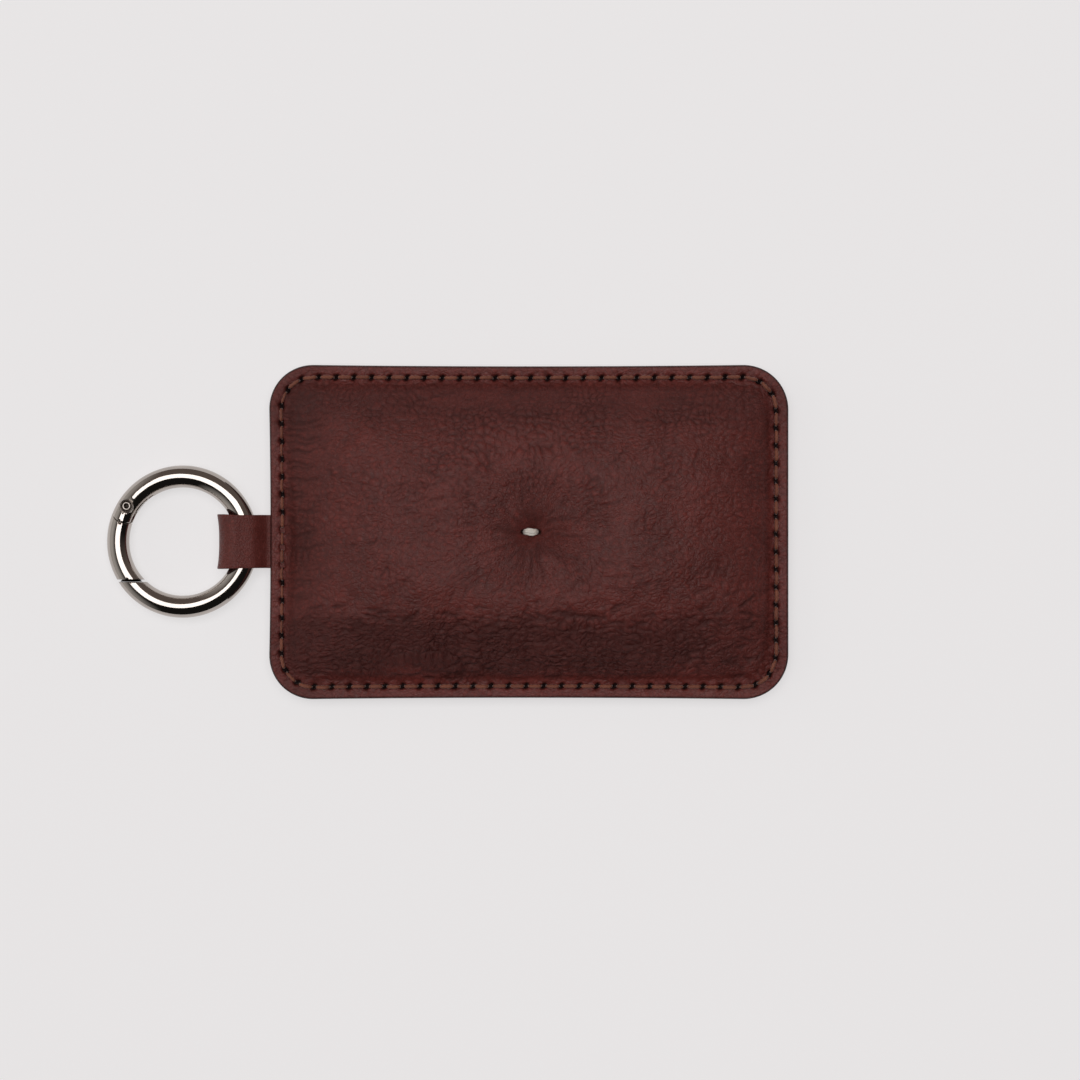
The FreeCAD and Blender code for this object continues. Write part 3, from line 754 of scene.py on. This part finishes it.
def strap_outline():
    """Outer face of the folded strap in the XZ plane, from the upper leaf's end to the lower's."""
    upper = [(x, tail_high[2]) for x in np.linspace(tail_high[0], -HALF_LENGTH - 0.25, 14)]
    upper += arc(WIRE_X, LOOP_Z, SHOULDER_RADIUS, 42, 80, 8)
    fold = arc(FOLD_X, LOOP_Z, FOLD_RADIUS, 90, 270, 25)
    lower = []
    for x, z in upper[::-1]:
        flipped = 2 * LOOP_Z - z if x < -HALF_LENGTH - 0.5 else tail_low[2]
        lower.append((x, flipped))
    points = np.array(upper + fold + lower)
    travelled = np.concatenate([[0], np.cumsum(np.linalg.norm(np.diff(points, axis=0), axis=1))])
    even = np.linspace(0, travelled[-1], STRAP_ROWS)
    points = np.stack([np.interp(even, travelled, points[:, k]) for k in (0, 1)], -1)
    for _ in range(5):
        points[1:-1] = (points[:-2] + 2 * points[1:-1] + points[2:]) / 4
    return points


def make_strap():
    """The folded strap: pared thin in the seam, full thickness round the fold, with slightly worn edges."""
    outer = strap_outline()
    forward = np.gradient(outer, axis=0)
    forward /= np.linalg.norm(forward, axis=1, keepdims=True)
    outward = np.stack([forward[:, 1], -forward[:, 0]], -1)
    full = 1 - ramp(outer[:, 0], WIRE_X - 1.4, WIRE_X + 0.6)
    thickness = STRAP_SKIVED - 0.03 + (STRAP_THICKNESS - STRAP_SKIVED) * full
    half = STRAP_WIDTH / 2
    soft = EDGE_SOFTNESS
    # each point of the section is a share of the half width and a share of the thickness
    edge = [(1 - 0.9 * soft / half, 0.0), (1 - 0.25 * soft / half, 0.06), (1, 0.22), (1, 0.5), (1, 0.78)]
    edge += [(1 - 0.25 * soft / half, 0.94), (1 - 0.9 * soft / half, 1.0)]
    face = np.linspace(-1, 1, 27)[1:-1] * (1 - 2.2 * soft / half)
    section = [(v, 0.0) for v in face] + edge + [(v, 1.0) for v in face[::-1]]
    section += [(-v, s) for v, s in edge[::-1]]
    rows, around = len(outer), len(section)
    points = np.zeros((rows, around, 3))
    at_fold = 1 - ramp(outer[:, 0], FOLD_X - FOLD_RADIUS, FOLD_X + 1.5)
    for k, (v, s) in enumerate(section):
        y = STRAP_Y + v * half * (1 + FOLD_SPREAD * at_fold)
        wave = 0.07 * noise_at(outer[:, 0] * 3, np.full(rows, y * 0.6), 3.0, 101) * full
        flare = -0.4 * at_fold * (abs(v) ** 2.5 - 0.2)
        inner = outer - outward * (s * thickness)[:, None]
        points[:, k, 0] = inner[:, 0] + flare
        points[:, k, 1] = y + 0.05 * noise_at(outer[:, 0], np.full(rows, 9.0 * np.sign(v)), 2.5, 102)
        points[:, k, 2] = inner[:, 1] + wave * (1 - s) * 0.6
    points[..., 2] = np.maximum(points[..., 2], 0.0)
    index = np.arange(rows * around).reshape(rows, around)
    faces = tube_faces(rows, around) + [index[0, ::-1].tolist(), index[-1].tolist()]
    strap = new_piece("strap", points.reshape(-1, 3), faces)
    side = [1.0 if 0.1 < s < 0.9 else 0.0 for v, s in section]
    give(strap, "paint", np.tile(side, rows) * SIDE_PAINT)
    return strap


# ---- the gate's rivet ----
RIVET_SIDES = 48
RIVET_PROFILE = [
    (0.28, 0.02, 1), (0.34, 0.12, 1), (0.40, 0.36, 0.4), (0.50, 0.50, 0), (0.62, 0.55, 0), (0.74, 0.50, 0),
    (0.81, 0.36, 0.3), (0.87, 0.22, 1), (0.96, 0.22, 1), (1.03, 0.36, 0.3), (1.11, 0.50, 0), (1.20, 0.54, 0),
    (1.29, 0.49, 0), (1.35, 0.36, 0), (1.35, 0.0, 1), (0.6, 0.0, 0), (0.6, -3.2, 0), (1.35, -3.2, 0),
    (1.35, -3.55, 0), (1.2, -3.72, 0), (0.5, -3.74, 0),
]  # radius, height over the hinge and painted shade


def make_rivet(place, axis):
    """The gate's rivet, turned on a lathe: a rolled inner ring and an outer bead round a hole, with painted
    shade in the hole, in the groove and under the bead.
    """
    axis = Vector(axis).normalized()
    side = axis.orthogonal().normalized()
    other = axis.cross(side)
    around = RIVET_SIDES
    points = [place + np.array(axis) * RIVET_PROFILE[0][1]]
    recess_shade = [1.0]
    for radius, height, shade_share in RIVET_PROFILE:
        for k in range(around):
            turn = 2 * math.pi * k / around
            spoke = np.array(side) * math.cos(turn) + np.array(other) * math.sin(turn)
            points.append(place + np.array(axis) * height + radius * spoke)
            recess_shade.append(shade_share)
    points.append(place + np.array(axis) * RIVET_PROFILE[-1][1])
    recess_shade.append(0.0)
    faces = []
    last = 1 + (len(RIVET_PROFILE) - 1) * around
    for k in range(around):
        n = (k + 1) % around
        faces.append([0, 1 + k, 1 + n])
        faces.append([last + around, last + n, last + k])
        for row in range(len(RIVET_PROFILE) - 1):
            low = 1 + row * around
            faces.append([low + k, low + around + k, low + around + n, low + n])
    rivet = new_piece("gate_rivet", np.array(points), faces)
    soft_edges(rivet, 50)
    give(rivet, "recess_shade", recess_shade)
    return rivet


# ---- pieces that follow the frame's own shape ----
SHARP_EDGE = math.radians(40)
STRIP = 4.0  # between the cuts that let a long side bend
STRIP_START = 3.0


def copied(node, name, bow=False, bevel=0.0):
    """A piece with the CAD node's shape.

    With bow, it is cut into strips so that its long sides can bend. With bevel, in millimetres, its sharp
    edges are broken and take the second material, which paints shade on them.
    """
    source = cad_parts[node]
    mesh = bmesh.new()
    mesh.from_mesh(source.data)
    bmesh.ops.remove_doubles(mesh, verts=mesh.verts, dist=1e-6)
    if bow:
        for axis, half in ((0, HALF_LENGTH), (1, HALF_WIDTH)):
            normal = Vector((1 - axis, axis, 0))
            for place in np.arange(-half + STRIP_START, half, STRIP):
                everything = mesh.verts[:] + mesh.edges[:] + mesh.faces[:]
                middle = normal * float(place) * MM
                bmesh.ops.bisect_plane(mesh, geom=everything, plane_co=middle, plane_no=normal)
        for vertex in mesh.verts:
            x, y = bowed(vertex.co.x / MM, vertex.co.y / MM)
            vertex.co.x, vertex.co.y = x * MM, y * MM
    if bevel:
        sharp = [edge for edge in mesh.edges if edge.is_manifold and edge.calc_face_angle(0) > SHARP_EDGE]
        rounded = {"offset": bevel * MM, "segments": 2, "affect": "EDGES", "clamp_overlap": True}
        bmesh.ops.bevel(mesh, geom=sharp, material=1, **rounded)
    made = bpy.data.meshes.new(name)
    mesh.to_mesh(made)
    mesh.free()
    piece = placed(name, made)
    soft_edges(piece)
    return piece


def widen_nib(gate):
    """Spreads the end of the gate's nib almost to the wire's surface, so that the joint is one dark line."""
    end = [vertex for vertex in gate.data.vertices if vertex.co.y / MM < TIP_Y]
    middle = sum((vertex.co for vertex in end), Vector()) / len(end)
    for vertex in end:
        vertex.co.x = middle.x + (vertex.co.x - middle.x) * NIB_SPREAD
        vertex.co.z = middle.z + (vertex.co.z - middle.z) * NIB_SPREAD


# ---- shader tools ----
def node(tree, kind, inputs=None, **settings):
    made = tree.nodes.new("ShaderNode" + kind)
    for key, value in settings.items():
        setattr(made, key, value)
    for key, value in (inputs or {}).items():
        if isinstance(value, bpy.types.NodeSocket):
            tree.links.new(value, made.inputs[key])
        else:
            made.inputs[key].default_value = value
    return made


def new_material(name, **uniform):
    material = bpy.data.materials.new(name)
    material.use_nodes = True
    shader = material.node_tree.nodes["Principled BSDF"]
    for key, value in uniform.items():
        shader.inputs[key.replace("_", " ")].default_value = value
    return material, material.node_tree, shader


def plug(shader, name, socket):
    shader.id_data.links.new(socket, shader.inputs[name])


def mixed(tree, factor, first, second):
    made = node(tree, "Mix", data_type="RGBA")
    for socket, value in ((0, factor), (6, first), (7, second)):
        if isinstance(value, bpy.types.NodeSocket):
            tree.links.new(value, made.inputs[socket])
        else:
            made.inputs[socket].default_value = value
    return made.outputs[2]


def scaled(tree, value, from_low, from_high, to_low, to_high):
    inputs = {0: value, 1: from_low, 2: from_high, 3: to_low, 4: to_high}
    return node(tree, "MapRange", inputs).outputs[0]


def attribute(tree, name, output="Fac"):
    return node(tree, "Attribute", attribute_name=name).outputs[output]


def noise(tree, place, scale, detail=2.0, roughness=0.5, output="Fac"):
    inputs = {"Vector": place, "Scale": scale, "Detail": detail, "Roughness": roughness}
    return node(tree, "TexNoise", inputs).outputs[output]


def cell_edges(tree, place, scale):
    """Distance to the nearest border between scattered cells."""
    inputs = {"Vector": place, "Scale": scale}
    return node(tree, "TexVoronoi", inputs, feature="DISTANCE_TO_EDGE").outputs["Distance"]


def cell_height(tree, place, scale):
    """Fine leather cells: 0 in the creases between them and 1 on top."""
    return scaled(tree, cell_edges(tree, place, scale), 0.0, 0.28, 0.0, 1.0)


def bump(tree, height, distance, strength=1.0, over=None):
    """Fine relief over another one, or over the mesh's own surface."""
    inputs = {"Height": height, "Distance": distance, "Strength": strength}
    if over is not None:
        inputs["Normal"] = over
    return node(tree, "Bump", inputs).outputs[0]


def shade(colour, share, lift=0.0):
    """A colour made paler or darker."""
    return [channel * share + lift for channel in colour[:3]] + [1]


# ---- materials ----
EDGE_PAINT = (0.012, 0.005, 0.005, 1)
SLIT_SHADOW = (0.012, 0.0032, 0.0024, 1)
# painted shade: dark metal for the rivet's hollows, the gate's joint and the ring's broken edges
PAINTED_SHADE_METAL = (0.03, 0.024, 0.02, 1)


def leather_grain(tree, place, from_attributes, cells_per_metre):
    """Fine cells in the grain, drawn out as the stored places say, or even all round."""
    if from_attributes:
        cells = cell_height(tree, attribute(tree, "grain_place", "Vector"), 1.0)
        fanned_cells = cell_height(tree, attribute(tree, "spoke_place", "Vector"), 1.0)
        return node(tree, "Mix", {0: attribute(tree, "fanned"), 2: cells, 3: fanned_cells}).outputs[0]
    warp = noise(tree, place, 260.0, output="Color")
    bent = node(tree, "VectorMath", {0: warp, 1: (0.0016,) * 3, 2: place}, operation="MULTIPLY_ADD")
    return cell_height(tree, bent.outputs[0], cells_per_metre)


def leather(name, base, pale, roughness, from_attributes=False, cells_per_metre=900.0, bumps=0.5):
    """Dyed leather: mottled, with fine cells in its grain and painted edges; painted shade darkens it
    between its cells, in its creases and over the pressed band, where it is duller too, and painted light
    makes it paler along the margin.
    """
    material, tree, shader = new_material(name, Specular_IOR_Level=0.36)
    place = node(tree, "TexCoord").outputs["Object"]
    cloudy = noise(tree, place, 110.0, 4.0, 0.6)
    fine = noise(tree, place, 1100.0, 5.0, 0.7)
    grain = leather_grain(tree, place, from_attributes, cells_per_metre)
    painted_shade = attribute(tree, "painted_shade")
    pale_fleck_colour = shade(pale, 1.45, 0.003)
    margin_light_colour = shade(pale, 1.4, 0.03)
    # colour of the painted shade
    dark = shade(base, 0.4)
    colour = mixed(tree, scaled(tree, cloudy, 0.35, 0.65, 0.0, 1.0), base, pale)
    # paler flecks, scattered by fine noise
    colour = mixed(tree, scaled(tree, fine, 0.5, 0.72, 0.0, 0.8), colour, pale_fleck_colour)
    # painted light: paler along the cover's margin
    colour = mixed(tree, scaled(tree, attribute(tree, "painted_margin_light"), 0, 1, 0.0, 0.5), colour, margin_light_colour)
    # painted shade between the fine cells
    colour = mixed(tree, scaled(tree, grain, 0.0, 0.5, 0.35, 0.0), colour, dark)
    # painted shade where the cover's shade mask says
    colour = mixed(tree, scaled(tree, painted_shade, 0, 1, 0.0, 0.7), colour, dark)
    colour = mixed(tree, attribute(tree, "paint"), colour, EDGE_PAINT)
    colour = mixed(tree, attribute(tree, "slit"), colour, SLIT_SHADOW)
    plug(shader, "Base Color", colour)
    dull = scaled(tree, painted_shade, 0, 1, 0.0, 0.2)
    rough = scaled(tree, fine, 0.3, 0.7, roughness - 0.07, roughness + 0.09)
    plug(shader, "Roughness", node(tree, "Math", {0: dull, 1: rough}).outputs[0])
    strength = scaled(tree, attribute(tree, "band"), 0, 1, bumps, 2.5 * bumps)
    raised = node(tree, "Math", {0: grain, 1: strength}, operation="MULTIPLY").outputs[0]
    pores = scaled(tree, cell_edges(tree, place, 2600.0), 0.0, 0.25, 0.0, 1.0)
    skin = bump(tree, raised, 0.0001)
    skin = bump(tree, pores, 0.00003, over=skin)
    skin = bump(tree, fine, 0.0001, over=skin)
    plug(shader, "Normal", skin)
    return material


def thread_material(name, base, pale):
    """Waxed thread: patches of two tones, with fine fibres."""
    material, tree, shader = new_material(name, Roughness=0.62, Sheen_Weight=0.25)
    place = node(tree, "TexCoord").outputs["Object"]
    fibre = noise(tree, place, 6000.0, 3.0)
    patch = noise(tree, place, 400.0)
    colour = mixed(tree, scaled(tree, patch, 0.35, 0.65, 0.0, 1.0), base, pale)
    colour = mixed(tree, scaled(tree, fibre, 0.35, 0.65, 0.0, 0.35), colour, shade(base, 0.45))
    plug(shader, "Base Color", colour)
    plug(shader, "Normal", bump(tree, fibre, 0.00005, 0.8))
    return material


def metal(name, base, roughness):
    """Polished plating with a trace of fine scratches and haze; painted shade makes its hollows dark and
    dull.
    """
    material, tree, shader = new_material(name, Metallic=1.0)
    place = node(tree, "TexCoord").outputs["Object"]
    haze = noise(tree, place, 250.0, 4.0)
    stretched = node(tree, "Mapping", {"Vector": place, "Scale": (900, 5200, 900)}).outputs[0]
    scratch = noise(tree, stretched, 1.0, 3.0)
    recess_shade = attribute(tree, "recess_shade")
    tone = mixed(tree, scaled(tree, haze, 0.3, 0.7, 0.0, 1.0), base, shade(base, 0.86))
    plug(shader, "Base Color", mixed(tree, recess_shade, tone, PAINTED_SHADE_METAL))
    polish = scaled(tree, haze, 0.3, 0.75, roughness, roughness + 0.05)
    dull = scaled(tree, recess_shade, 0, 1, 0.0, 0.35)
    plug(shader, "Roughness", node(tree, "Math", {0: dull, 1: polish}).outputs[0])
    plug(shader, "Normal", bump(tree, scratch, 0.000002, 0.25))
    return material


def floor_material():
    """A white sheet, lit a little from within. It is clear from below, so that the rear face can be seen."""
    glow = {"Emission_Color": (1.0, 0.985, 0.99, 1), "Emission_Strength": 0.58}
    material, tree, shader = new_material("floor_white", Roughness=0.75, Specular_IOR_Level=0.2, **glow)
    tone = noise(tree, node(tree, "TexCoord").outputs["Object"], 3.0)
    colour = mixed(tree, tone, (0.385, 0.378, 0.382, 1), (0.405, 0.398, 0.402, 1))
    plug(shader, "Base Color", colour)
    clear = node(tree, "BsdfTransparent").outputs[0]
    from_below = node(tree, "NewGeometry").outputs["Backfacing"]
    both = node(tree, "MixShader", {0: from_below, 1: shader.outputs[0], 2: clear})
    tree.links.new(both.outputs[0], tree.nodes["Material Output"].inputs["Surface"])
    return material


# ---- build ----
FRONT_TONES = (0.108, 0.0172, 0.0130, 1), (0.158, 0.0262, 0.0202, 1)
REAR_TONES = (0.048, 0.012, 0.0098, 1), (0.062, 0.016, 0.013, 1)
STRAP_TONES = (0.125, 0.0235, 0.0180, 1), (0.165, 0.036, 0.029, 1)
LINING_TONES = (0.075, 0.028, 0.019, 1), (0.095, 0.038, 0.027, 1)
cover_leather = leather("leather_front", *FRONT_TONES, 0.42, from_attributes=True, bumps=0.6)
rear_leather = leather("leather_rear", *REAR_TONES, 0.5)
strap_leather = leather("leather_strap", *STRAP_TONES, 0.46, cells_per_metre=1900.0, bumps=0.35)
lining_leather = leather("leather_lining", *LINING_TONES, 0.6)
sewing_thread = thread_material("thread_brown", (0.20, 0.052, 0.025, 1), (0.28, 0.082, 0.040, 1))
cream_thread = thread_material("thread_cream", (0.88, 0.81, 0.73, 1), (0.93, 0.89, 0.83, 1))
gunmetal = metal("plating_gunmetal", (0.50, 0.455, 0.42, 1), 0.055)
# painted shade for the gate's tip joint and the ring's broken edges
joint_shadow = metal("joint_dark", PAINTED_SHADE_METAL, 0.4)
spring_steel = metal("steel_spring", (0.50, 0.49, 0.48, 1), 0.18)

cover, cover_points = make_cover()
coloured(cover, cover_leather)
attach(cover, "pouch")
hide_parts("cover_panel", "wadding")

front_thread = coloured(make_thread(), sewing_thread)
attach(front_thread, "pouch")
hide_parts("front_stitching")

tuft_thread = coloured(make_tuft(cover_points), cream_thread)
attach(tuft_thread, "pouch")
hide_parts("tuft_stitch")

for source, piece_name, material, slot in (
    ("rear_panel", "rear_leather_panel", rear_leather, "rear_leather"),
    ("inner_lining", "lining_sheet", lining_leather, "lining_leather"),
    ("rear_stitching", "rear_thread", sewing_thread, "sewing_thread"),
):
    piece = coloured(copied(source, piece_name, bow=True), material)
    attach(piece, "pouch")
    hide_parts(source)

strap = coloured(make_strap(), strap_leather)
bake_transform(strap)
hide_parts("strap_tails", "ring_loop")

JOINT_REACH = 0.27  # of the painted shade on the joint at the gate's tip, to each side of its middle
for source, piece_name, body in (
    ("ring_body", "ring_fixed_part", "ring"),
    ("ring_gate", "ring_spring_gate", "gate"),
):
    piece = coloured(copied(source, piece_name, bevel=EDGE_BREAK), gunmetal)
    piece.data.materials.append(joint_shadow)
    # painted shade: the faces at the joint by the gate's tip take the dark second material
    for face in piece.data.polygons:
        centre = np.array(face.center) / MM
        if abs(centre[1] - TIP_Y) < JOINT_REACH and centre[0] < RING_X:
            face.material_index = 1
    if body == "gate":
        widen_nib(piece)
    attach(piece, body)
    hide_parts(source)

rivet = coloured(make_rivet(HINGE_PLACE, HINGE_AXIS), gunmetal)
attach(rivet, "ring")
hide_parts("gate_pin")

coil = coloured(copied("gate_spring", "gate_coil_spring"), spring_steel)
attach(coil, "ring")
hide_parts("gate_spring")
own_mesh(coil)

coloured(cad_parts["tuft_backing"], lining_leather)

# ---- table, light and camera ----
SHEET_HALF = 1500.0
SHEET_TOP = -0.02  # just under the rear face, so that the two don't fight
corners = [(x * SHEET_HALF, y * SHEET_HALF, SHEET_TOP) for x, y in ((-1, -1), (1, -1), (1, 1), (-1, 1))]
floor = coloured(new_piece("floor", corners, [[0, 1, 2, 3]]), floor_material())

ROOM_STRENGTH = 0.65
SOFTBOX_TARGET = Vector((-0.03, 0.06, 0))
light = bpy.data.lights.new("softbox_overhead", "AREA")
light.shape = "RECTANGLE"
light.size, light.size_y = 1.3, 1.05
light.energy = 11.5
light.color = (1.0, 0.985, 0.98)
softbox = placed("softbox_overhead", light)
softbox.location = (-0.04, 0.2, 1.5)
softbox.rotation_euler = (SOFTBOX_TARGET - softbox.location).to_track_quat("-Z", "Y").to_euler()


def studio_world():
    """A dim room: dark towards -Y and +X, warm grey towards +Y and pale towards -X."""
    world = bpy.data.worlds.new("studio")
    world.use_nodes = True
    tree = world.node_tree
    direction = node(tree, "TexCoord").outputs["Generated"]
    parts = node(tree, "SeparateXYZ", {"Vector": direction})
    far_side = scaled(tree, parts.outputs["Y"], -0.15, 0.45, 0.0, 1.0)
    left_side = scaled(tree, parts.outputs["X"], -0.45, -0.85, 0.0, 1.0)
    colour = mixed(tree, far_side, (0.02, 0.019, 0.018, 1), (0.24, 0.195, 0.175, 1))
    colour = mixed(tree, left_side, colour, (0.85, 0.83, 0.80, 1))
    tree.links.new(colour, tree.nodes["Background"].inputs["Color"])
    tree.nodes["Background"].inputs["Strength"].default_value = ROOM_STRENGTH
    bpy.context.scene.world = world


studio_world()

SEAM_HEIGHT = SEAM_TOP * MM
FRAME_WIDTH = 0.2033  # what the square picture takes in at the seam's height
CAMERA_DISTANCE = 0.48
CAMERA_X = 0.0022
CAMERA_Y = -0.0015
camera_data = bpy.data.cameras.new("camera")
camera_data.sensor_width = 36.0
camera_data.lens = camera_data.sensor_width * CAMERA_DISTANCE / FRAME_WIDTH
camera_data.clip_start = 0.01
camera = placed("camera", camera_data)
camera.location = (CAMERA_X, CAMERA_Y, SEAM_HEIGHT + CAMERA_DISTANCE)
bpy.context.scene.camera = camera
bpy.context.scene.view_settings.view_transform = "Standard"
